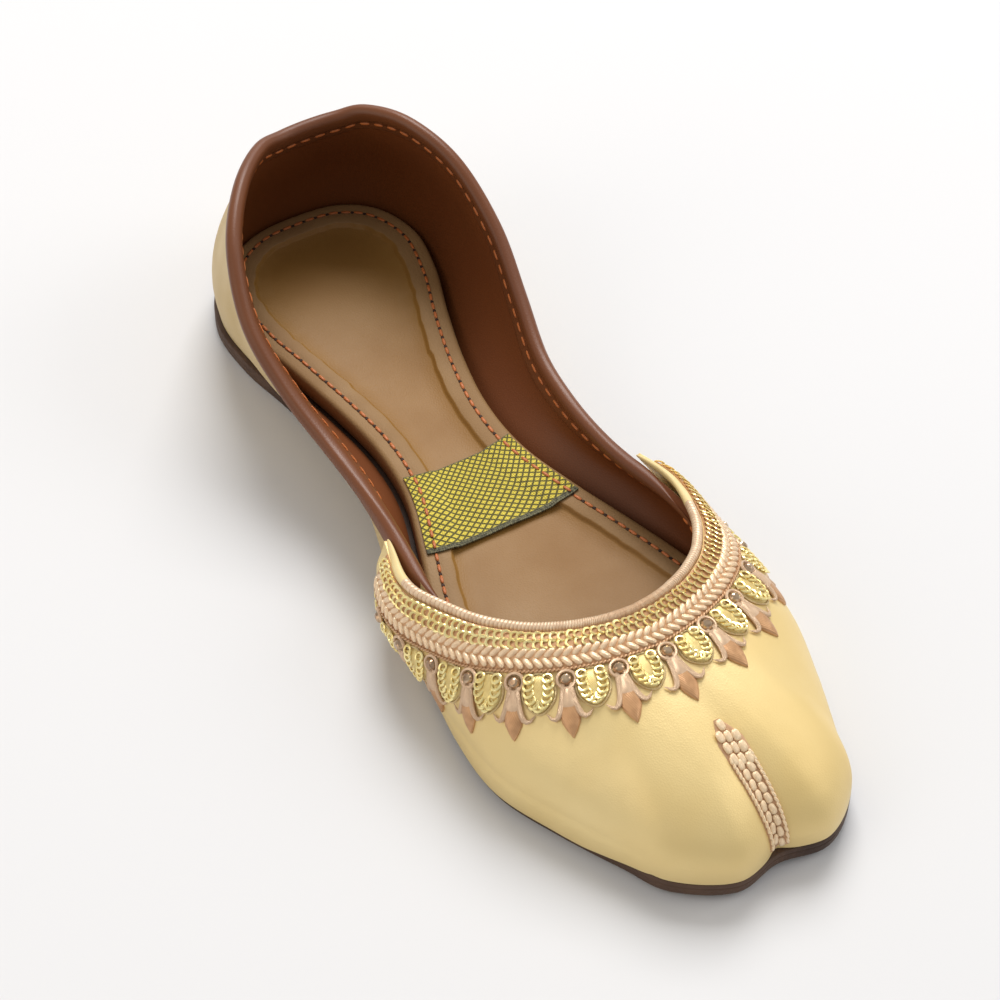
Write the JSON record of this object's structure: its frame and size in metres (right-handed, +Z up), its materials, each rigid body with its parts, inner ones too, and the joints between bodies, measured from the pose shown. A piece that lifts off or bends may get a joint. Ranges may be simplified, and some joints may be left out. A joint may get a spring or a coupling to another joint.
{
  "type": "mojari shoe",
  "caption": "Flat slip-on mojari with a brown leather lining, a champagne vamp, an embroidered throat band and a squared, split toe.",
  "frame": {"origin": "middle of the shoe's box, on the floor", "axes": "+Z up from the floor, +Y from the toe to the heel, +X to the right of someone who looks from the toe to the heel"},
  "size_m": [0.0892, 0.2524, 0.0532],
  "materials": {
    "outsole": "matt, dark brown",
    "insole": "satin, tan",
    "upper": "satin, brown lining with a cream cloth outside",
    "vamp_cover": "champagne gold, soft sheen",
    "collar_binding": "satin, brown",
    "throat_piping": "thread-wrapped, pale pink gold",
    "throat_braid": "metallic thread embroidery",
    "toe_seam": "satin stitch, pink gold",
    "label_ribbon": "woven, olive yellow"
  },
  "bodies": {
    "root": {"outsole": "outsole", "insole": "insole", "upper": "upper", "vamp_cover": "vamp_cover", "collar_binding": "collar_binding", "throat_piping": "throat_piping", "throat_braid": "throat_braid", "toe_seam": "toe_seam", "label_ribbon": "label_ribbon"}
  },
  "joints": []
}
